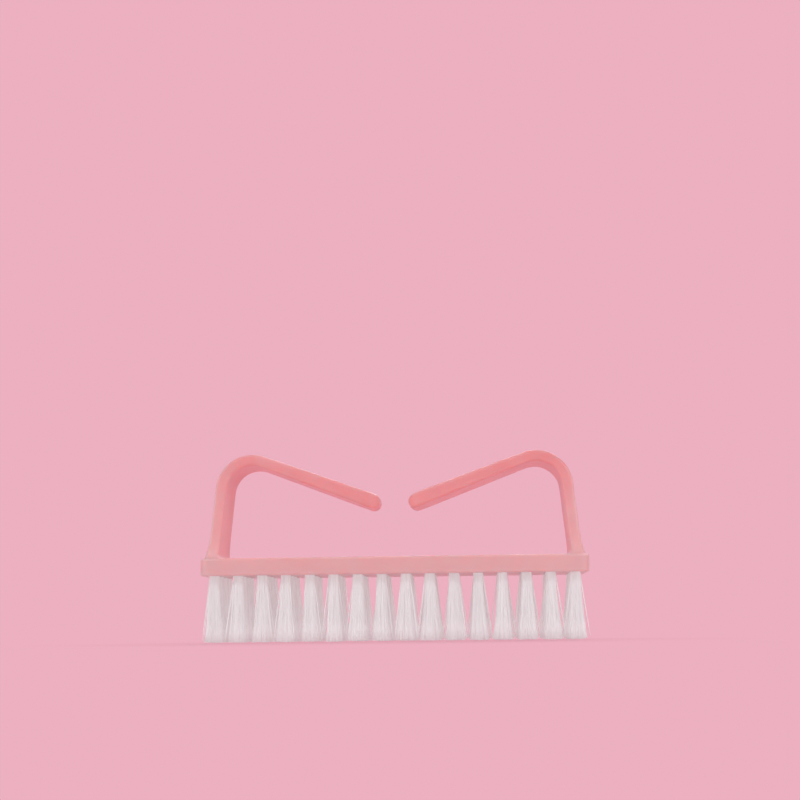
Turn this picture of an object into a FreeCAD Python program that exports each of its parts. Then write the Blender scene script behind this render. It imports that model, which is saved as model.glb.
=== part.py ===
"""Nail brush with a hooked finger handle.

Frame: +Z up, the brush stands on its bristle tips. The origin is at the centre of the footprint, in
the plane of the tips. X runs along the bar, Y across it. All sizes are millimetres and degrees.
"""
import FreeCAD, Part
import math
import os
import Sketcher

# Driving dimensions: alias, value, meaning
SIZES = [
    ("bar_length", 94.4, "length of the bar that carries the tufts"),
    ("bar_depth", 22.5, "depth of the bar, front to back"),
    ("bar_thick", 4.2, "thickness of the bar"),
    ("bar_corner", 3.0, "corner radius of the bar, seen from above"),
    ("bar_edge", 0.6, "rounding of the bar's long edges"),
    ("handle_rise", 25.7, "top of the handle above the top of the bar"),
    ("foot_setback", 0.85, "outside of a foot behind the end of the bar"),
    ("leg_setback", 1.25, "outside of a leg behind the outside of its foot, at the top of the flare"),
    ("foot_inset", 2.0, "front of a foot behind the front of the bar"),
    ("arm_inset", 4.05, "front of the legs and arms behind the front of the bar, above the flare"),
    ("flare_height", 6.8, "height of the flared foot"),
    ("lean_angle", 5.8, "inward lean of the legs"),
    ("slope_angle", 19.3, "fall of the top of the arms from the corner to the tip"),
    ("arm_thick", 2.7, "thickness of the legs and of the arms at the corner"),
    ("corner_radius", 9.0, "outer radius of the handle's corner"),
    ("foot_fillet", 1.3, "fillet between the inside of a leg and the bar"),
    ("tip_gap", 7.0, "gap between the two tips"),
    ("tip_radius_share", 0.67, "radius of the rounded tip, seen from the front, as a share of arm_thick"),
    ("tip_narrowing", 0.8, "how much the front of an arm draws in towards its tip"),
    ("tip_taper", 25.0, "length of arm over which it draws in"),
    ("tip_round_share", 0.875, "corner radius of the tip, seen from above, as a share of half its depth"),
    ("tip_centre_share", 0.92, "centre of that corner behind the tip's end, as a share of its radius"),
    ("arm_edge", 0.75, "rounding of the edges of the legs and arms"),
    ("column_count", 16, "tufts along the bar"),
    ("row_count", 4, "tufts across the bar"),
    ("end_margin", 3.475, "last tuft's centre to the end of the bar"),
    ("side_margin", 2.85, "outer row's centre line to the side of the bar"),
    ("bristle_length", 16.2, "bristles outside the bar"),
    ("tuft_gap", 1.0, "gap between the tips of neighbouring tufts"),
    ("hole_bore", 2.5, "bore of the blind holes for the tufts"),
    ("hole_floor", 1.1, "plastic left above a blind hole"),
    ("root_clearance", 0.04, "radial clearance of a tuft in its hole"),
    ("anchor_bite", 0.25, "how far each end of an anchor cuts into the wall of its hole"),
    ("anchor_tall", 1.5, "height of an anchor, along the hole"),
    ("anchor_thick", 0.32, "thickness of the anchor's flat wire"),
    ("anchor_clearance", 0.03, "clearance all round an anchor in its notches"),
    ("fold_height", 0.7, "folded filaments between an anchor and the floor of its hole"),
    ("overrun", 2.0, "how far a cut runs past the material"),
]

# Sizes that follow from the ones above, as expressions in the sheet's cells
COLUMN_PITCH = "(sizes.bar_length - 2 * sizes.end_margin) / (sizes.column_count - 1)"
ROW_PITCH = "(sizes.bar_depth - 2 * sizes.side_margin) / (sizes.row_count - 1)"
FOOT_DEPTH = "sizes.bar_depth - 2 * sizes.foot_inset"
ARM_DEPTH = "sizes.bar_depth - 2 * sizes.arm_inset"
HOLE_DEPTH = "sizes.bar_thick - sizes.hole_floor"
ANCHOR_TOP = HOLE_DEPTH + " - sizes.fold_height"
ANCHOR_WIDE = "sizes.hole_bore + 2 * sizes.anchor_bite"

doc = FreeCAD.newDocument("nail_brush")
sheet = doc.addObject("Spreadsheet::Sheet", "sizes")
for row, (alias, value, meaning) in enumerate(SIZES, 1):
    sheet.set("A%d" % row, alias)
    sheet.set("B%d" % row, str(value))
    sheet.set("C%d" % row, meaning)
    sheet.setAlias("B%d" % row, alias)
doc.recompute()


def size(alias):
    """Value of one cell of the sheet."""
    return float(sheet.get(alias))


def worth(expression):
    """Value of an expression in the sheet's cells."""
    return float(sheet.evalExpression(expression))


def point(across, up):
    """Point of a sketch, in the sketch's own plane."""
    return FreeCAD.Vector(across, up, 0)


# Sketch and feature helpers
def new_body(label):
    """Body for one sub-part, whose label names its file."""
    body = doc.addObject("PartDesign::Body", label)
    body.Label = label
    return body


def origin_feature(body, role):
    """One of a body's own origin planes or axes, such as XY_Plane."""
    return [feature for feature in body.Origin.OriginFeatures if feature.Role == role][0]


def new_sketch(body, name, role, lift=None):
    """Sketch on one of the body's own origin planes, lifted by an expression where one is given."""
    sketch = body.newObject("Sketcher::SketchObject", name)
    sketch.AttachmentSupport = (origin_feature(body, role), "")
    sketch.MapMode = "FlatFace"
    if lift:
        sketch.setExpression("AttachmentOffset.Base.z", lift)
    return sketch


def draw_loops(sketch, loops):
    """Closed outlines, each a list of edges in order, joined end to start.

    An edge is (start, end) for a line and (start, middle, end) for an arc.
    """
    geometry = []
    joints = []
    for edges in loops:
        first = len(geometry)
        for index, edge in enumerate(edges):
            geometry.append(Part.LineSegment(*edge) if len(edge) == 2 else Part.Arc(*edge))
            follower = (index + 1) % len(edges)
            joints.append(Sketcher.Constraint("Coincident", first + index, end_number(edge),
                                              first + follower, 3 - end_number(edges[follower])))
    sketch.addGeometry(geometry)
    sketch.addConstraint(joints)


def end_number(edge):
    """Number that a sketch gives to the last point of an edge: an arc always runs anticlockwise there."""
    if len(edge) == 2:
        return 2
    turn = (edge[1] - edge[0]).cross(edge[2] - edge[1]).z
    return 2 if turn > 0 else 1


def polygon(corners):
    """Outline of straight edges round a list of corners."""
    return [(corner, corners[(index + 1) % len(corners)]) for index, corner in enumerate(corners)]


def rectangle(centre, half_wide, half_tall):
    """Corners of a rectangle round a centre."""
    return [centre + point(right * half_wide, up * half_tall)
            for right, up in ((-1, -1), (1, -1), (1, 1), (-1, 1))]


def draw_rectangle(sketch, wide, tall):
    """Rectangle centred on the sketch's origin, its two sides bound to expressions."""
    corners = rectangle(point(0, 0), 0.5 * worth(wide), 0.5 * worth(tall))
    draw_loops(sketch, [polygon(corners)])
    for side, kind in enumerate(("Horizontal", "Vertical", "Horizontal", "Vertical")):
        sketch.addConstraint(Sketcher.Constraint(kind, side))
    sketch.addConstraint(Sketcher.Constraint("Symmetric", 0, 1, 1, 2, -1, 1))
    across = sketch.addConstraint(Sketcher.Constraint("DistanceX", 0, 1, 0, 2, worth(wide)))
    sketch.setExpression("Constraints[%d]" % across, wide)
    height = sketch.addConstraint(Sketcher.Constraint("DistanceY", 1, 1, 1, 2, worth(tall)))
    sketch.setExpression("Constraints[%d]" % height, tall)


def new_feature(body, kind, name, profile, **expressions):
    """Feature made from a sketch, its sizes bound to expressions."""
    feature = body.newObject("PartDesign::" + kind, name)
    feature.Profile = profile
    for size_name, expression in expressions.items():
        feature.setExpression(size_name, expression)
    return feature


def round_edges(body, name, radius, wanted):
    """Fillet on every edge of the body so far that the test picks."""
    doc.recompute()
    base = body.Tip
    fillet = body.newObject("PartDesign::Fillet", name)
    edges = [number for number, edge in enumerate(base.Shape.Edges, 1) if wanted(edge)]
    fillet.Base = (base, ["Edge%d" % number for number in edges])
    fillet.setExpression("Radius", radius)
    return fillet


# Places along and across the bar
def spread_evenly(count, pitch):
    """Places of a centred row of equal steps."""
    return [(index - 0.5 * (count - 1)) * pitch for index in range(count)]


COLUMNS = spread_evenly(int(size("column_count")), worth(COLUMN_PITCH))
ROWS = spread_evenly(int(size("row_count")), worth(ROW_PITCH))
BAR_BOTTOM = size("bristle_length")
BAR_TOP = BAR_BOTTOM + size("bar_thick")
SMALL = 0.01 * size("bar_edge")
TIP_RADIUS = size("tip_radius_share") * size("arm_thick")


# Handle moulding
def polar(centre, radius, bearing):
    """Point at a radius and a bearing from a centre."""
    turn = math.radians(bearing)
    return centre + point(radius * math.cos(turn), radius * math.sin(turn))


def bearing_of(vector):
    """Bearing of a vector, in degrees from the sketch's own X."""
    return math.degrees(math.atan2(vector.y, vector.x))


def arc_round(centre, radius, first, last):
    """Arc round a centre between two bearings, as start, middle and end."""
    return tuple(polar(centre, radius, bearing) for bearing in (first, 0.5 * (first + last), last))


def flare_arc(foot, flare, bearing):
    """Hollow arc from a foot up to a side that it runs on into; the side faces the bearing."""
    outward = polar(point(0, 0), 1, bearing)
    reach = foot - flare
    radius = reach.Length ** 2 / (2 * reach.dot(outward))
    centre = flare + outward * radius
    halfway = foot + flare - centre * 2
    return (foot, centre + halfway * (radius / halfway.Length), flare)


def corner_centre(flare):
    """Centre of the corner's two arcs; the leg through the flare's top is tangent to the outer one."""
    lean = math.radians(size("lean_angle"))
    up = BAR_TOP + size("handle_rise") - size("corner_radius")
    across = flare.x - (size("corner_radius") - (flare.y - up) * math.sin(lean)) / math.cos(lean)
    return point(across, up)


def foot_fillet_arc(corner, inner):
    """Fillet between the inside of the leg, at a radius from the corner's centre, and the bar's top."""
    lean = math.radians(size("lean_angle"))
    fillet = size("foot_fillet")
    up = BAR_TOP + fillet
    across = corner.x + (inner - fillet - (up - corner.y) * math.sin(lean)) / math.cos(lean)
    return arc_round(point(across, up), fillet, size("lean_angle"), -90)


def tip_centre(corner):
    """Centre of the tip's round end, which is tangent to the arm's top."""
    slope = math.radians(size("slope_angle"))
    across = 0.5 * size("tip_gap") + TIP_RADIUS
    drop = (size("corner_radius") - TIP_RADIUS) / math.cos(slope) + (across - corner.x) * math.tan(slope)
    return point(across, corner.y + drop)


def underside_fall(corner, inner, ball):
    """Fall of the line that is tangent to the corner's inner arc and to the tip's round end.

    The corner's centre lies below the line and the tip's centre above it, so along the line's
    normal the two are as far apart as their two radii together.
    """
    reach = ball - corner
    off_normal = math.degrees(math.acos((inner + TIP_RADIUS) / reach.Length))
    return 90 + bearing_of(corner - ball) - off_normal


def arm_outline():
    """Outline of the right leg and arm, seen from the front.

    The leg's two sides lean inwards and are tangent to the corner's two arcs. The arm's top and
    underside leave the same arcs, part a little on their way down, and end in a round tip.
    """
    lean = size("lean_angle")
    outer = size("corner_radius")
    inner = outer - size("arm_thick")
    foot = point(0.5 * size("bar_length") - size("foot_setback"), BAR_TOP)
    flare = foot + point(-size("leg_setback"), size("flare_height"))
    corner = corner_centre(flare)
    ball = tip_centre(corner)
    top_normal = 90 + size("slope_angle")
    under_normal = 90 + underside_fall(corner, inner, ball)
    outer_arc = arc_round(corner, outer, lean, top_normal)
    tip_arc = arc_round(ball, TIP_RADIUS, top_normal, 180 + under_normal)
    inner_arc = arc_round(corner, inner, under_normal, lean)
    fillet_arc = foot_fillet_arc(corner, inner)
    inside_bar = point(fillet_arc[-1].x, BAR_TOP - 0.5 * size("bar_thick"))
    outside_bar = point(foot.x, inside_bar.y)
    return [
        (outside_bar, foot),
        flare_arc(foot, flare, lean),
        (flare, outer_arc[0]),
        outer_arc,
        (outer_arc[-1], tip_arc[0]),
        tip_arc,
        (tip_arc[-1], inner_arc[0]),
        inner_arc,
        (inner_arc[-1], fillet_arc[0]),
        fillet_arc,
        (fillet_arc[-1], inside_bar),
        (inside_bar, outside_bar),
    ]


def mirrored(edges, across=1, up=1):
    """Outline turned over about one or both of the sketch's axes."""
    return [tuple(point(across * place.x, up * place.y) for place in edge) for edge in edges]


def side_trim():
    """What is cut from the back of the handle, seen from its end, so that the feet flare into the bar."""
    top = BAR_TOP + size("handle_rise") + size("overrun")
    foot = point(0.5 * worth(FOOT_DEPTH), BAR_TOP)
    beyond = foot.x + size("overrun")
    flare = point(0.5 * worth(ARM_DEPTH), BAR_TOP + size("flare_height"))
    return [
        flare_arc(foot, flare, 0),
        (flare, point(flare.x, top)),
        (point(flare.x, top), point(beyond, top)),
        (point(beyond, top), point(beyond, foot.y)),
        (point(beyond, foot.y), foot),
    ]


def tip_trim():
    """What is cut from the back of the arms, seen from above, so that they narrow to rounded tips.

    The corner's arc is centred a share of its radius behind the tip's end, so it crosses the end.
    """
    end = 0.5 * size("tip_gap")
    beyond = 0.5 * worth(FOOT_DEPTH) + size("overrun")
    wide = point(end + size("tip_taper"), 0.5 * worth(ARM_DEPTH))
    tip_side = wide.y - size("tip_narrowing")
    corner = size("tip_round_share") * tip_side
    share = size("tip_centre_share")
    centre = point(end + share * corner, tip_side - corner)
    reach = wide - centre
    touch = bearing_of(reach) + math.degrees(math.acos(corner / reach.Length))
    round_corner = arc_round(centre, corner, touch, 180 - math.degrees(math.acos(share)))
    back = [
        (point(0, beyond), point(wide.x, beyond)),
        (point(wide.x, beyond), wide),
        (wide, round_corner[0]),
        round_corner,
        (round_corner[-1], point(0, round_corner[-1].y)),
    ]
    far_back = [tuple(reversed(edge)) for edge in reversed(mirrored(back, across=-1))]
    return back + far_back


def handle_moulding():
    """Bar, two legs and two arms in one moulding, with a blind hole for each tuft."""
    body = new_body("handle_moulding")
    body.AllowCompound = True

    arms = new_sketch(body, "arms_outline", "XZ_Plane")
    draw_loops(arms, [mirrored(arm_outline(), across=side) for side in (1, -1)])
    arms_pad = new_feature(body, "Pad", "arms", arms, Length=FOOT_DEPTH)
    arms_pad.SideType = "Symmetric"

    sides = new_sketch(body, "side_outline", "YZ_Plane")
    draw_loops(sides, [mirrored(side_trim(), across=side) for side in (1, -1)])
    side_cut = new_feature(body, "Pocket", "side_trim", sides,
                           Length="sizes.bar_length + 2 * sizes.overrun")
    side_cut.SideType = "Symmetric"

    tips = new_sketch(body, "tip_outline", "XY_Plane", "sizes.bristle_length + sizes.bar_thick")
    draw_loops(tips, [mirrored(tip_trim(), up=side) for side in (1, -1)])
    tip_cut = new_feature(body, "Pocket", "tip_trim", tips, Length="sizes.handle_rise + sizes.overrun")
    tip_cut.Reversed = True
    round_edges(body, "arm_edges", "sizes.arm_edge", is_arm_edge)

    plate = new_sketch(body, "bar_outline", "XY_Plane", "sizes.bristle_length")
    draw_rectangle(plate, "sizes.bar_length", "sizes.bar_depth")
    new_feature(body, "Pad", "bar", plate, Length="sizes.bar_thick")
    round_edges(body, "bar_corners", "sizes.bar_corner", is_bar_corner)
    round_edges(body, "bar_edges", "sizes.bar_edge", is_bar_outline)
    cut_holes(body)
    return body


def is_arm_edge(edge):
    """True for an edge of the legs and arms that runs along their front or back."""
    box = edge.BoundBox
    across = box.YLength > max(box.XLength, box.ZLength) and box.YMin * box.YMax < 0
    climbs = box.ZLength > SMALL and box.ZMin > BAR_TOP - SMALL
    return climbs and not across


def is_bar_corner(edge):
    """True for one of the bar's four upright edges."""
    box = edge.BoundBox
    return box.ZMin < BAR_BOTTOM + SMALL and box.ZLength > size("bar_thick") - SMALL


def is_bar_outline(edge):
    """True for an edge that runs round the top or the bottom of the bar, outside the feet."""
    box = edge.BoundBox
    level = box.ZLength < SMALL and box.ZMax < BAR_TOP + SMALL
    at_end = max(-box.XMin, box.XMax) > 0.5 * size("bar_length") - SMALL
    at_side = max(-box.YMin, box.YMax) > 0.5 * size("bar_depth") - SMALL
    return level and (at_end or at_side)


def cut_holes(body):
    """Blind holes for the tufts, and the notches that the anchors' ends sit in."""
    holes = new_sketch(body, "hole_outline", "XY_Plane", "sizes.bristle_length")
    notches = new_sketch(body, "notch_outline", "XY_Plane", "sizes.bristle_length")
    radius = 0.5 * size("hole_bore")
    half_wide = 0.5 * worth(ANCHOR_WIDE) + size("anchor_clearance")
    half_thick = 0.5 * size("anchor_thick") + size("anchor_clearance")
    centres = [point(across, back) for across in COLUMNS for back in ROWS]
    holes.addGeometry([Part.Circle(centre, FreeCAD.Vector(0, 0, 1), radius) for centre in centres])
    draw_loops(notches, [polygon(rectangle(centre, half_wide, half_thick)) for centre in centres])
    hole_cut = new_feature(body, "Pocket", "tuft_holes", holes, Length=HOLE_DEPTH)
    hole_cut.Reversed = True
    notch_cut = new_feature(body, "Pocket", "anchor_notches", notches,
                            Length=ANCHOR_TOP + " + sizes.anchor_clearance")
    notch_cut.Reversed = True


# Tufts and their anchors, one column across the bar to a node
def repeat_across(body, originals):
    """The features repeated across the bar, each copy a solid of its own."""
    rows = body.newObject("PartDesign::LinearPattern", "rows")
    rows.Originals = originals
    rows.Direction = (origin_feature(body, "Y_Axis"), [""])
    rows.setExpression("Length", "(sizes.row_count - 1) * " + ROW_PITCH)
    rows.setExpression("Occurrences", "sizes.row_count")
    body.Tip = rows


def place_column(body, index):
    """Puts a body at its column, its first copy in the front row."""
    body.setExpression("Placement.Base.x",
                       "(%d - 0.5 * (sizes.column_count - 1)) * %s" % (index, COLUMN_PITCH))
    body.setExpression("Placement.Base.y", "sizes.side_margin - 0.5 * sizes.bar_depth")
    body.setExpression("Placement.Base.z", "sizes.bristle_length")


def tuft_column(index):
    """Tufts of one column: a root in the hole, then filaments that spread down to the tips."""
    body = new_body("tufts_%02d" % (index + 1))
    body.AllowCompound = True
    root = 0.5 * size("hole_bore") - size("root_clearance")
    top = worth(HOLE_DEPTH) - size("root_clearance")
    low = -size("bristle_length")
    spread = 0.5 * (min(worth(COLUMN_PITCH), worth(ROW_PITCH)) - size("tuft_gap"))

    profile = new_sketch(body, "tuft_profile", "XZ_Plane")
    draw_loops(profile, [polygon([
        point(0, low),
        point(spread, low),
        point(root, 0),
        point(root, top),
        point(0, top),
    ])])
    tuft = new_feature(body, "Revolution", "tuft", profile)
    tuft.ReferenceAxis = (profile, ["V_Axis"])
    tuft.Angle = 360

    slot = new_sketch(body, "slot_outline", "XZ_Plane")
    tall = size("anchor_tall") + 2 * size("anchor_clearance")
    middle = worth(ANCHOR_TOP) - 0.5 * size("anchor_tall")
    draw_loops(slot, [polygon(rectangle(point(0, middle), size("hole_bore"), 0.5 * tall))])
    slot_cut = new_feature(body, "Pocket", "anchor_slot", slot,
                           Length="sizes.anchor_thick + 2 * sizes.anchor_clearance")
    slot_cut.SideType = "Symmetric"

    repeat_across(body, [tuft, slot_cut])
    place_column(body, index)
    return body


def anchor_column(index):
    """Anchors of one column: flat wire driven on edge into each hole over the folded filaments."""
    body = new_body("anchors_%02d" % (index + 1))
    body.AllowCompound = True
    outline = new_sketch(body, "anchor_outline", "XY_Plane", ANCHOR_TOP + " - sizes.anchor_tall")
    draw_rectangle(outline, ANCHOR_WIDE, "sizes.anchor_thick")
    anchor = new_feature(body, "Pad", "anchor", outline, Length="sizes.anchor_tall")
    repeat_across(body, [anchor])
    place_column(body, index)
    return body


# Assembly, checks and files
def check_model(bodies):
    """Stops on a feature that failed and on a sub-part with no sound shape."""
    for item in doc.Objects:
        if "Invalid" in item.State or "Error" in item.State:
            raise RuntimeError("%s failed: %s" % (item.Name, item.State))
    for body in bodies:
        if body.Shape.isNull() or not body.Shape.isValid():
            raise RuntimeError("%s has no sound shape" % body.Label)


def write_parts(bodies):
    """One STEP file per sub-part, named after it."""
    os.makedirs("parts", exist_ok=True)
    for body in bodies:
        body.Shape.exportStep("parts/%s.step" % body.Label)
        box = body.Shape.BoundBox
        print("%-16s %3d solids  %9.2f mm3  x %6.2f..%6.2f  y %6.2f..%6.2f  z %5.2f..%5.2f" % (
            body.Label, len(body.Shape.Solids), body.Shape.Volume,
            box.XMin, box.XMax, box.YMin, box.YMax, box.ZMin, box.ZMax))


bodies = [handle_moulding()]
for index in range(len(COLUMNS)):
    bodies.append(tuft_column(index))
    bodies.append(anchor_column(index))
doc.recompute()
check_model(bodies)
write_parts(bodies)
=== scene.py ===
"""Looks of the nail brush: coral jelly plastic, white nylon filaments and flat wire anchors.

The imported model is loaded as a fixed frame. The moulding and the anchors keep their solids and get
their finishes here. Each column of tufts is replaced by its filaments, every one a thin tube that
folds over its anchor and ends in two tips. Lengths are metres, except where a name ends in _MM.
"""
import math

import bpy
import numpy as np
from mathutils import Matrix, Vector


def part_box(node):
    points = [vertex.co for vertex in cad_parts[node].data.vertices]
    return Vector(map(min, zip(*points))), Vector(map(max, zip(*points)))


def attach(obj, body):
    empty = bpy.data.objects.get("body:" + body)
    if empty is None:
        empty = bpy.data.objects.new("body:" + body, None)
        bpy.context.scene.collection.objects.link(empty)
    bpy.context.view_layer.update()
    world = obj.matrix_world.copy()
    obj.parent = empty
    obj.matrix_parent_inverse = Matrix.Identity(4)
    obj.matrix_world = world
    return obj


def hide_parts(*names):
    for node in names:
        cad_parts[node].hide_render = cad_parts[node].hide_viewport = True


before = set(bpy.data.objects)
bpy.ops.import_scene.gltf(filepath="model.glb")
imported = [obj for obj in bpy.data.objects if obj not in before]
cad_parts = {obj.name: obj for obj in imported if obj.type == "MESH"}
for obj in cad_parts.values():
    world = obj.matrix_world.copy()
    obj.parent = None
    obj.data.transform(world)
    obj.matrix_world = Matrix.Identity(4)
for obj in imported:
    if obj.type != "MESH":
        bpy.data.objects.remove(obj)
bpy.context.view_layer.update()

MM = 0.001

# Camera: the photograph's viewpoint, low and a little to the right, looking up and to the left
CAMERA_PLACE = (0.02118, -0.35239, 0.00219)
CAMERA_PAN = 3.193
CAMERA_TILT = 9.339
CAMERA_ROLL = -0.619
CAMERA_LENS = 63.63
SENSOR_WIDTH = 36.0
NEAREST_SEEN = 0.005
FURTHEST_SEEN = 20


def place_camera():
    """Camera turned about the vertical, then up, then about its own line of sight."""
    camera = bpy.data.objects.new("camera", bpy.data.cameras.new("camera"))
    bpy.context.scene.collection.objects.link(camera)
    camera.matrix_world = (
        Matrix.Translation(CAMERA_PLACE)
        @ Matrix.Rotation(math.radians(CAMERA_PAN), 4, "Z")
        @ Matrix.Rotation(math.radians(90 + CAMERA_TILT), 4, "X")
        @ Matrix.Rotation(math.radians(CAMERA_ROLL), 4, "Z")
    )
    camera.data.sensor_width = SENSOR_WIDTH
    camera.data.lens = CAMERA_LENS
    camera.data.clip_start = NEAREST_SEEN
    camera.data.clip_end = FURTHEST_SEEN
    bpy.context.scene.camera = camera


place_camera()
bpy.context.scene.view_settings.view_transform = "Standard"


# Finishes. The colour sockets of a mix node share their names, so they go by number
MIX_FIRST = 6
MIX_SECOND = 7
MIX_RESULT = 2


def linear(red, green, blue):
    """Linear colour from the 0 to 255 values that a screen shows."""
    def channel(level):
        share = level / 255
        return share / 12.92 if share <= 0.04045 else ((share + 0.055) / 1.055) ** 2.4
    return (channel(red), channel(green), channel(blue), 1.0)


class Value:
    """Number that changes over a surface; arithmetic on it adds Math nodes."""

    def __init__(self, finish, socket):
        self.finish = finish
        self.socket = socket

    def combine(self, operation, first, second):
        made = self.finish.node("ShaderNodeMath", {"operation": operation}, {0: first, 1: second})
        return made["Value"]

    def __add__(self, other):
        return self.combine("ADD", self, other)

    __radd__ = __add__

    def __sub__(self, other):
        return self.combine("SUBTRACT", self, other)

    def __rsub__(self, other):
        return self.combine("SUBTRACT", other, self)

    def __mul__(self, other):
        return self.combine("MULTIPLY", self, other)

    __rmul__ = __mul__

    def clipped(self, low, high):
        """The value spread from low..high to 0..1, and held there."""
        return self.finish.node("ShaderNodeMapRange", {"clamp": True},
                                {"Value": self, "From Min": low, "From Max": high})["Result"]


class Finish:
    """A material whose nodes all come from one method."""

    def __init__(self, name):
        self.material = bpy.data.materials.new(name)
        self.material.use_nodes = True
        self.tree = self.material.node_tree
        self.shader = self.tree.nodes["Principled BSDF"]

    def node(self, kind, settings, sockets):
        """Node of a kind, its settings made first, then its sockets; gives its outputs by name."""
        made = self.tree.nodes.new(kind)
        for name, value in settings.items():
            setattr(made, name, value)
        for key, value in sockets.items():
            self.feed(made.inputs[key], value)
        return {output.name: Value(self, output) for output in made.outputs if output.enabled}

    def feed(self, socket, value):
        """Links or sets one socket."""
        if isinstance(value, Value):
            self.tree.links.new(value.socket, socket)
        else:
            socket.default_value = value

    def place(self):
        """Object coordinates."""
        return self.node("ShaderNodeTexCoord", {}, {})["Object"]

    def stretched(self, along):
        """Object coordinates divided by lengths, so that a pattern is that long each way."""
        scale = tuple(1 / length for length in along)
        made = self.node("ShaderNodeMapping", {}, {"Vector": self.place(), "Scale": scale})
        return made["Vector"]

    def noise(self, along, detail):
        """Smooth noise whose patches are of the given lengths along X, Y and Z."""
        sockets = {"Vector": self.stretched(along), "Scale": 1.0,
                   "Detail": detail, "Roughness": 0.5}
        return self.node("ShaderNodeTexNoise", {}, sockets)["Fac"]

    def blend(self, factor, first, second):
        """Colour between two others."""
        made = self.tree.nodes.new("ShaderNodeMix")
        made.data_type = "RGBA"
        self.feed(made.inputs["Factor"], factor)
        self.feed(made.inputs[MIX_FIRST], first)
        self.feed(made.inputs[MIX_SECOND], second)
        return Value(self, made.outputs[MIX_RESULT])

    def relief(self, height, depth):
        """Normal of a surface raised by a height of 0 to 1 times a depth in metres."""
        sockets = {"Height": height, "Distance": depth, "Strength": 1.0}
        return self.node("ShaderNodeBump", {}, sockets)["Normal"]

    def shade(self, **sockets):
        """Feeds the shader's own sockets; an underscore in a name stands for a space."""
        for name, value in sockets.items():
            self.feed(self.shader.inputs[name.replace("_", " ")], value)
        return self.material


# Coral plastic. A patch is how long a pattern is along X, Y and Z, and a range is where it starts
# to show and where it shows in full. The legs' range is of the square of X
CORAL = linear(243, 159, 162)
CORAL_FLOW = linear(246, 169, 172)
CORAL_CLOUD = linear(249, 187, 190)
# Painted light: the bar and the legs are blended towards this paler colour, as if more light fell on
# them
CORAL_PAINTED_LIGHT = linear(250, 206, 208)
FLOW_PATCH = (0.022, 0.012, 0.016)
FLOW_RANGE = (0.35, 0.65)
CLOUD_PATCH = (0.006, 0.006, 0.006)
CLOUD_RANGE = (0.45, 0.8)
CLOUD_SHARE = 0.3
# Heights, range and shares of the painted light on the bar and on the legs
BAR_HEIGHTS = (0.019, 0.025)
BAR_PAINTED_LIGHT_SHARE = 0.58
LEG_HEIGHTS = (0.032, 0.047)
LEG_RANGE = (0.038 ** 2, 0.044 ** 2)
LEG_PAINTED_LIGHT_SHARE = 0.5
SCRATCH_PATCH = (0.004, 0.00005, 0.00005)
SCRATCH_RANGE = (0.66, 0.78)
SCRATCH_HEIGHT = -0.12
SMUDGE_PATCH = (0.005, 0.004, 0.005)
PEEL_PATCH = (0.0016, 0.0016, 0.0016)
PEEL_DEPTH = 0.000003
CORAL_ROUGHNESS = 0.27
SMUDGE_ROUGHNESS = 0.10
SCRATCH_ROUGHNESS = 0.05


def coral_plastic():
    """Translucent coral plastic with a satin shine, faint flow marks and fine handling scratches.

    The bar and the legs are painted paler than the bends and the arms. This is painted light, not a
    tone of the plastic. The painted light on the bar fades out just above it, and on the legs on the
    way up to the bends.
    """
    finish = Finish("coral_plastic")
    flow = finish.noise(FLOW_PATCH, detail=2)
    cloud = finish.noise(CLOUD_PATCH, detail=3)
    spots = finish.node("ShaderNodeSeparateXYZ", {}, {"Vector": finish.place()})
    # Masks of the painted light: the bar, and the legs below the bends
    bar_painted_light = 1 - spots["Z"].clipped(*BAR_HEIGHTS)
    outside = (spots["X"] * spots["X"]).clipped(*LEG_RANGE)
    legs_painted_light = outside * (1 - spots["Z"].clipped(*LEG_HEIGHTS)) * (1 - bar_painted_light)
    colour = finish.blend(flow.clipped(*FLOW_RANGE), CORAL, CORAL_FLOW)
    colour = finish.blend(cloud.clipped(*CLOUD_RANGE) * CLOUD_SHARE, colour, CORAL_CLOUD)
    # Painted light: the bar and the legs are lightened towards the pale colour
    colour = finish.blend(legs_painted_light * LEG_PAINTED_LIGHT_SHARE + bar_painted_light * BAR_PAINTED_LIGHT_SHARE, colour, CORAL_PAINTED_LIGHT)
    scratch = finish.noise(SCRATCH_PATCH, detail=2).clipped(*SCRATCH_RANGE)
    smudge = finish.noise(SMUDGE_PATCH, detail=3)
    peel = finish.noise(PEEL_PATCH, detail=1)
    normal = finish.relief(peel + scratch * SCRATCH_HEIGHT, PEEL_DEPTH)
    return finish.shade(
        Base_Color=colour,
        Roughness=smudge * SMUDGE_ROUGHNESS + CORAL_ROUGHNESS + scratch * SCRATCH_ROUGHNESS,
        Normal=normal,
        IOR=1.49,
        Subsurface_Weight=0.9,
        Subsurface_Radius=(1.0, 0.30, 0.27),
        Subsurface_Scale=0.0042,
        Specular_IOR_Level=0.3,
        Coat_Weight=0.08,
        Coat_Roughness=0.18,
    )


# White nylon. Its heights are shares of the way from z = 0, near the cut tips, up to the bar
NYLON_DARK = linear(227, 228, 229)
NYLON_LIGHT = linear(240, 242, 242)
NYLON_FROST = linear(244, 246, 246)
FROST_HEIGHT = 0.05
FROST_SHARE = 0.6
GLOW_ALONG = linear(223, 196, 200)
GLOW_AT_TIPS = linear(255, 226, 231)
GLOW_HEIGHT = 0.35
GRAIN_PATCH = (0.00006, 0.00006, 0.0012)
GRAIN_DEPTH = 0.000006
NYLON_ROUGHNESS = 0.38
FROST_ROUGHNESS = 0.2
GRAIN_ROUGHNESS = 0.08


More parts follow.
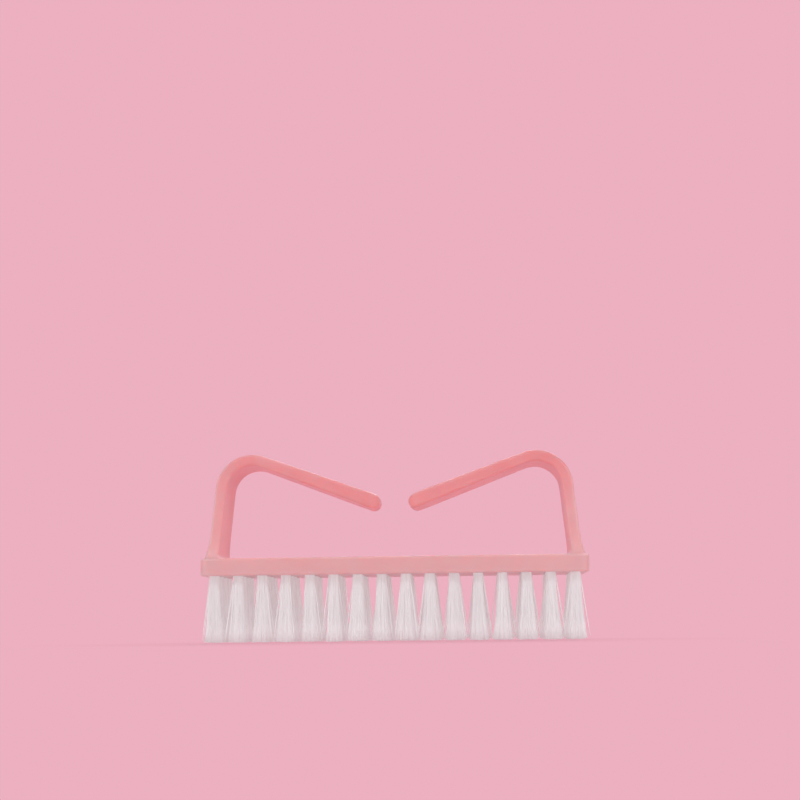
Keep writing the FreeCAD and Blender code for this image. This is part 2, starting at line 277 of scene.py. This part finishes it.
def white_nylon():
    """Milky nylon with frosted cut tips, and a faint glow that grows towards them.

    A filament's map holds a number of its own, which shifts its tone, and its height. The glow
    stands for the light that real filaments pass on to each other.
    """
    finish = Finish("white_nylon")
    spots = finish.node("ShaderNodeSeparateXYZ", {}, {
        "Vector": finish.node("ShaderNodeTexCoord", {}, {})["UV"]})
    tone = spots["X"]
    height = spots["Y"]
    colour = finish.blend(tone, NYLON_DARK, NYLON_LIGHT)
    frost = 1 - height.clipped(0.0, FROST_HEIGHT)
    colour = finish.blend(frost * FROST_SHARE, colour, NYLON_FROST)
    gathered = 1 - height.clipped(0.0, GLOW_HEIGHT)
    grain = finish.noise(GRAIN_PATCH, detail=1)
    return finish.shade(
        Base_Color=colour,
        Roughness=frost * FROST_ROUGHNESS + NYLON_ROUGHNESS + grain * GRAIN_ROUGHNESS,
        Normal=finish.relief(grain, GRAIN_DEPTH),
        IOR=1.53,
        Emission_Color=finish.blend(gathered, GLOW_ALONG, GLOW_AT_TIPS),
        Emission_Strength=0.2,
    )


# Drawn steel
STEEL_DARK = linear(176, 174, 170)
STEEL_LIGHT = linear(206, 204, 200)
DRAW_PATCH = (0.004, 0.00004, 0.00004)
DRAW_DEPTH = 0.000004
STEEL_ROUGHNESS = 0.24
DRAW_ROUGHNESS = 0.2


def drawn_steel():
    """Flat steel wire with draw lines along it."""
    finish = Finish("drawn_steel")
    lines = finish.noise(DRAW_PATCH, detail=2)
    return finish.shade(
        Base_Color=finish.blend(lines, STEEL_DARK, STEEL_LIGHT),
        Metallic=1.0,
        Roughness=lines * DRAW_ROUGHNESS + STEEL_ROUGHNESS,
        Normal=finish.relief(lines, DRAW_DEPTH),
    )


PLASTIC = coral_plastic()
NYLON = white_nylon()
STEEL = drawn_steel()


def finish_node(name, material):
    """Gives a CAD node its finish."""
    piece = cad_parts[name]
    piece.data.materials.clear()
    piece.data.materials.append(material)


# Tufts: how many there are, and the room that each has in its hole
COLUMNS = 16
ROWS = 4
BUNDLE_RADIUS = 1.21 * MM
BAR_BOTTOM = 16.2 * MM
ANCHOR_TOP = 18.6 * MM
HOLE_TOP = 19.26 * MM
ANCHOR_HALF = 0.19 * MM

# Filaments. Their stations are shares of the way from the bar down to the tip
FILAMENTS = 130
FILAMENT_RADIUS = 0.062 * MM
SIDES = 5
CUT_END_SHARE = 0.72
STATIONS = np.array([1.0, 0.82, 0.63, 0.42, 0.2, 0.0])
GOLDEN_ANGLE = 2.399963
FOLD_ROOM = 2.2 * FILAMENT_RADIUS
FIRST_SEED = 4100

# Drawn once for a tuft, each as a mean and a deviation
FLARE = (1.0, 0.06)
LEAN_MM = (0, 0.2)
CURL = (1.6, 0.28)
LEAST_CURL = 1.1
CUT_MM = (0, 0.08)
LEAST_CUT_MM = 0.03

# Drawn for each filament; the spread at the tips grows by a power of the reach in the bundle
ROOT_JITTER_MM = 0.03
LEAST_SPREAD_MM = 0.1
SPREAD_MM = 2.3
SPREAD_POWER = 0.85
SPREAD_JITTER_MM = 0.1
BEARING_JITTER = 0.3
POWER_JITTER = 0.2
LEAST_POWER = 0.9
FURTHEST_TIP = np.array([3.3, 2.7]) * MM

# Wisps, with their bearings and widths in radians; only filaments with enough reach join one
WISPS = 3
WISP_SWING = 0.45
WISP_HALF_WIDTH = 0.11
WISP_REACH = 0.72
WISP_SPREAD_MM = 2.4
WISP_SPREADS = (1.15, 1.5)
WISP_JITTER = 0.04
WISP_SHORT_MM = (0.1, 0.6)

# The cut: filaments that are short, two waves round the tuft, and a slight dome
SHORT_MM = 0.3
WAVE_LOBES = (3, 8)
WAVE_PHASES = (0, 6.28)
WAVE_MM = 0.12
WAVE_LEAST = 0.4
WAVE_DRAWN = 0.6
EVEN_AT_RIM = 0.45
RIM_MM = 2.6
DOME_PER_MM = 0.01


def half_disc(random):
    """Places spread evenly over the half of the hole on one side of the anchor.

    Each has a bearing, which grows by the golden angle, and a radius that grows with the square
    root of an even step, so that equal areas hold equal numbers. Its depth comes twice: as it
    lies, for the tip, and pressed back from the anchor, for the root.
    """
    step = np.arange(2 * FILAMENTS) + 0.5
    radius = (BUNDLE_RADIUS - FILAMENT_RADIUS) * np.sqrt(step / (2 * FILAMENTS))
    bearing = GOLDEN_ANGLE * step + random.uniform(0, 2 * math.pi)
    across, free = radius * np.cos(bearing), radius * np.sin(bearing)
    order = np.argsort(free)[:FILAMENTS]
    across, free = across[order], free[order]
    near = -(ANCHOR_HALF + FILAMENT_RADIUS)
    share = (free - free.min()) / (free.max() - free.min())
    return across, free, free.min() + share * (near - free.min())


def half_tuft(random, side, places, tuft):
    """Lines of the filaments on one side of the anchor, from their tips up to the anchor's top.

    Below the bar a filament moves from its place in the hole to its place at the tips by a power
    of the depth. Outer filaments near a wisp's bearing leave the bundle together and run straight.
    The cut rises in waves round the tuft, which fade towards the rim, and with the square of how
    far a filament is spread. Tips beyond an ellipse are drawn in to its edge.
    """
    across, free, back = places
    flare, lean, curl, cut = tuft
    root_x = across + random.normal(0, ROOT_JITTER_MM, FILAMENTS) * MM
    root_y = side * back
    reach = np.hypot(root_x, free) / BUNDLE_RADIUS
    bearing = np.arctan2(side * free, root_x)

    wisps = math.pi * random.integers(0, 2, WISPS) + random.normal(0, WISP_SWING, WISPS)
    apart = np.abs(np.angle(np.exp(1j * (bearing[:, None] - wisps[None, :]))))
    nearest = np.argmin(apart, 1)
    stray = (apart.min(1) < WISP_HALF_WIDTH) & (reach > WISP_REACH)

    spread = (LEAST_SPREAD_MM + SPREAD_MM * reach ** SPREAD_POWER) * flare
    spread = spread + random.normal(0, SPREAD_JITTER_MM, FILAMENTS)
    wisp_spread = WISP_SPREAD_MM * random.uniform(*WISP_SPREADS, WISPS)
    spread = np.where(stray, wisp_spread[nearest], spread)

    few, many = WAVE_LOBES
    wave = 2 + np.sin(few * bearing + random.uniform(*WAVE_PHASES))
    wave = wave + np.sin(many * bearing + random.uniform(*WAVE_PHASES))
    short = random.uniform(*WISP_SHORT_MM, WISPS)[nearest]
    uneven = np.abs(random.normal(0, SHORT_MM, FILAMENTS))
    uneven = uneven + WAVE_MM * wave * (WAVE_LEAST + WAVE_DRAWN * random.random(FILAMENTS))
    uneven = uneven * (1 - EVEN_AT_RIM * np.clip(spread / RIM_MM, 0, 1) ** 2)
    rise = cut + uneven + DOME_PER_MM * spread ** 2 + stray * short

    together = wisps[nearest] + random.normal(0, WISP_JITTER, FILAMENTS)
    alone = bearing + random.normal(0, BEARING_JITTER, FILAMENTS)
    bearing = np.where(stray, together, alone)
    tip_x = spread * np.cos(bearing) * MM + lean[0]
    tip_y = spread * np.sin(bearing) * MM + lean[1]
    held = 1 / np.maximum(1, np.hypot(tip_x / FURTHEST_TIP[0], tip_y / FURTHEST_TIP[1]))
    tip_x, tip_y = tip_x * held, tip_y * held
    tip_z = rise * MM

    power = np.maximum(LEAST_POWER, random.normal(curl, POWER_JITTER, FILAMENTS))
    power = np.where(stray, 1.0, power)
    depth = STATIONS[None, :]
    way = depth ** power[:, None]
    x = root_x[:, None] + (tip_x - root_x)[:, None] * way
    y = root_y[:, None] + (tip_y - root_y)[:, None] * way
    z = BAR_BOTTOM + (tip_z - BAR_BOTTOM)[:, None] * depth
    top = np.stack([root_x, root_y, np.full(FILAMENTS, ANCHOR_TOP)], 1)[:, None, :]
    return np.concatenate([np.stack([x, y, z], 2), top], 1)


def filament_lines(random, centre):
    """Centre lines of one tuft's filaments, as an array of filament, point and coordinate.

    A filament runs from a tip up into the hole, over the anchor, and down to its other tip. The
    further from the anchor it stands in the hole, the higher its fold passes over it.
    """
    places = half_disc(random)
    flare = random.normal(*FLARE)
    lean = random.normal(*LEAN_MM, 2) * MM
    curl = max(LEAST_CURL, random.normal(*CURL))
    cut = LEAST_CUT_MM + abs(random.normal(*CUT_MM))
    legs = [half_tuft(random, side, places, (flare, lean, curl, cut)) for side in (1, -1)]
    apart = np.abs(places[2])
    share = (apart - apart.min()) / np.ptp(apart)
    crown = ANCHOR_TOP + FILAMENT_RADIUS + share * (HOLE_TOP - ANCHOR_TOP - FOLD_ROOM)
    middle = 0.5 * (legs[0][:, -1, 0] + legs[1][:, -1, 0])
    fold = np.stack([middle, np.zeros(FILAMENTS), crown], 1)[:, None, :]
    line = np.concatenate([legs[0], fold, legs[1][:, ::-1]], 1)
    line[:, :, 0] += centre[0]
    line[:, :, 1] += centre[1]
    return line


def tube_grid(lines, radius):
    """Tubes round many lines at once, as rings of points.

    A ring is a circle of points square to its line's direction. The first and the last ring are
    drawn in a little, which rounds the cut tips.
    """
    ahead = np.gradient(lines, axis=1)
    ahead /= np.linalg.norm(ahead, axis=2, keepdims=True)
    side = np.cross(ahead, np.array([1.0, 0.0, 0.0]))
    side /= np.linalg.norm(side, axis=2, keepdims=True)
    other = np.cross(ahead, side)
    turn = 2 * math.pi * np.arange(SIDES) / SIDES
    size = np.full(lines.shape[1], radius)
    size[0] = size[-1] = CUT_END_SHARE * radius
    ring = (side[:, :, None, :] * np.cos(turn)[None, None, :, None]
            + other[:, :, None, :] * np.sin(turn)[None, None, :, None])
    return lines[:, :, None, :] + ring * size[None, :, None, None]


def tube_faces(count, points):
    """Quads between neighbouring rings, and one face over each end."""
    ring = np.arange(count * points * SIDES).reshape(count, points, SIDES)
    following = np.roll(ring, -1, axis=2)
    quads = np.stack([ring[:, :-1], following[:, :-1], following[:, 1:], ring[:, 1:]], 3)
    ends = np.concatenate([ring[:, 0, ::-1], ring[:, -1]], 0)
    return quads.reshape(-1, 4), ends


def mesh_from(name, corners, faces, maps):
    """Mesh object from an array of points, lists of faces and a map value for each point."""
    mesh = bpy.data.meshes.new(name)
    every_face = [face for group in faces for face in group.tolist()]
    mesh.from_pydata(corners.reshape(-1, 3).tolist(), [], every_face)
    layer = mesh.uv_layers.new(name="filament")
    corner = np.empty(len(mesh.loops), dtype=np.int32)
    mesh.loops.foreach_get("vertex_index", corner)
    layer.data.foreach_set("uv", maps.reshape(-1, 2)[corner].astype(np.float32).ravel())
    mesh.polygons.foreach_set("use_smooth", np.ones(len(mesh.polygons), dtype=bool))
    mesh.update()
    piece = bpy.data.objects.new(name, mesh)
    bpy.context.scene.collection.objects.link(piece)
    return piece


def bristle_column(number):
    """Filaments of one column, from the box of its CAD tufts, on a random draw of its own."""
    node = "tufts_%02d" % number
    low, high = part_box(node)
    middle = 0.5 * (low.x + high.x)
    half = 0.5 * (high.x - low.x)
    front = low.y + half
    back = high.y - half
    random = np.random.default_rng(FIRST_SEED + number)
    lines = np.concatenate([filament_lines(random, (middle, row))
                            for row in np.linspace(front, back, ROWS)], 0)
    rings = tube_grid(lines, FILAMENT_RADIUS)
    count, points = lines.shape[:2]
    shape = (count, points, SIDES)
    tone = np.broadcast_to(random.random(count)[:, None, None], shape)
    height = np.broadcast_to(np.clip(lines[:, :, 2] / BAR_BOTTOM, 0, 1)[:, :, None], shape)
    maps = np.stack([tone, height], 3)
    piece = mesh_from("bristles_%02d" % number, rings, tube_faces(count, points), maps)
    piece.data.materials.append(NYLON)
    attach(piece, "root")
    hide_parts(node)


finish_node("handle_moulding", PLASTIC)
for number in range(1, COLUMNS + 1):
    finish_node("anchors_%02d" % number, STEEL)
    bristle_column(number)


# Stage and light
BACKDROP = linear(236, 176, 192)
FLOOR_COLOUR = linear(252, 192, 207)
FLOOR_LIGHT = linear(250, 236, 238)
FLOOR_REACH = 3.0
FLOOR_FADE = (0.045, 0.095)
NEAR_GLOW = 0.55
FAR_GLOW = 0.45
WORLD_COLOUR = (1.0, 0.92, 0.93, 1.0)
WORLD_STRENGTH = 0.31
LAMP_TARGET = (0, 0, 0.02)


def floor_finish():
    """Plain pale floor that takes the shadow.

    Camera, gloss and clear pieces see it in its own colour, mixed with the backdrop's glow: in
    part near the brush, and wholly further out. Every other ray meets a paler floor.
    """
    finish = Finish("pale_floor")
    tree = finish.tree
    length = {"operation": "LENGTH"}
    distance = finish.node("ShaderNodeVectorMath", length, {0: finish.place()})["Value"]
    glow = finish.node("ShaderNodeEmission", {}, {"Color": BACKDROP, "Strength": 1.0})["Emission"]
    path = finish.node("ShaderNodeLightPath", {}, {})
    shown = path["Is Camera Ray"] + path["Is Glossy Ray"] + path["Is Transmission Ray"]
    finish.shade(
        Base_Color=finish.blend(shown, FLOOR_LIGHT, FLOOR_COLOUR),
        Roughness=1.0,
        Specular_IOR_Level=0.0,
    )
    mix = tree.nodes.new("ShaderNodeMixShader")
    glowing = distance.clipped(*FLOOR_FADE) * FAR_GLOW + NEAR_GLOW
    finish.feed(mix.inputs["Fac"], glowing * shown)
    tree.links.new(finish.shader.outputs["BSDF"], mix.inputs[1])
    finish.feed(mix.inputs[2], glow)
    tree.links.new(mix.outputs["Shader"], tree.nodes["Material Output"].inputs["Surface"])
    return finish.material


def make_floor():
    """Round floor: rings of points whose radius grows evenly, closed by a fan in the middle."""
    turns, rings = 64, 12
    bearing = 2 * math.pi * np.arange(turns) / turns
    radius = FLOOR_REACH * np.linspace(1 / rings, 1, rings)
    across = np.outer(radius, np.cos(bearing)).ravel()
    back = np.outer(radius, np.sin(bearing)).ravel()
    corners = np.concatenate([[[0.0, 0.0, 0.0]], np.stack([across, back, 0 * across], 1)], 0)
    grid = 1 + np.arange(rings * turns).reshape(rings, turns)
    following = np.roll(grid, -1, axis=1)
    quads = np.stack([grid[:-1], grid[1:], following[1:], following[:-1]], 2).reshape(-1, 4)
    fan = np.stack([np.zeros(turns, int), grid[0], following[0]], 1)
    mesh = bpy.data.meshes.new("floor")
    mesh.from_pydata(corners.tolist(), [], quads.tolist() + fan.tolist())
    floor = bpy.data.objects.new("floor", mesh)
    bpy.context.scene.collection.objects.link(floor)
    mesh.materials.append(floor_finish())


def light_world():
    """Even soft light, with the backdrop's colour where camera, gloss or clear pieces see it."""
    world = bpy.data.worlds.new("studio")
    bpy.context.scene.world = world
    world.use_nodes = True
    tree = world.node_tree
    lit = tree.nodes["Background"]
    lit.inputs["Color"].default_value = WORLD_COLOUR
    lit.inputs["Strength"].default_value = WORLD_STRENGTH
    seen = tree.nodes.new("ShaderNodeBackground")
    seen.inputs["Color"].default_value = BACKDROP
    seen.inputs["Strength"].default_value = 1.0
    path = tree.nodes.new("ShaderNodeLightPath")
    shown = path.outputs["Is Camera Ray"]
    for name in ("Is Glossy Ray", "Is Transmission Ray"):
        most = tree.nodes.new("ShaderNodeMath")
        most.operation = "MAXIMUM"
        tree.links.new(shown, most.inputs[0])
        tree.links.new(path.outputs[name], most.inputs[1])
        shown = most.outputs[0]
    mix = tree.nodes.new("ShaderNodeMixShader")
    tree.links.new(shown, mix.inputs["Fac"])
    tree.links.new(lit.outputs["Background"], mix.inputs[1])
    tree.links.new(seen.outputs["Background"], mix.inputs[2])
    tree.links.new(mix.outputs["Shader"], tree.nodes["World Output"].inputs["Surface"])


def soft_lamp(name, place, wide, tall, power, colour=(1.0, 1.0, 1.0), mirrored=True):
    """Rectangular area lamp that faces the brush; gloss shows it only if it is mirrored."""
    lamp = bpy.data.lights.new(name, "AREA")
    lamp.shape = "RECTANGLE"
    lamp.size = wide
    lamp.size_y = tall
    lamp.energy = power
    lamp.color = colour
    holder = bpy.data.objects.new(name, lamp)
    bpy.context.scene.collection.objects.link(holder)
    holder.visible_camera = False
    holder.visible_glossy = mirrored
    holder.location = place
    facing = Vector(LAMP_TARGET) - Vector(place)
    holder.rotation_euler = facing.to_track_quat("-Z", "Y").to_euler()


make_floor()
light_world()
soft_lamp("strip", place=(-0.08, -0.5, 0.7), wide=1.2, tall=0.08, power=2.1)
soft_lamp("front", place=(0.021, -0.362, 0.003), wide=0.012, tall=0.012, power=0.28,
          colour=(0.8, 1.0, 1.0), mirrored=False)
soft_lamp("left", place=(-0.7, -0.2, 0.25), wide=0.3, tall=0.3, power=0.75)
soft_lamp("right", place=(0.7, -0.2, 0.25), wide=0.3, tall=0.3, power=0.75)
soft_lamp("back", place=(0.1, 0.6, 0.5), wide=0.5, tall=0.5, power=2.4, colour=(1.0, 0.8, 0.84))
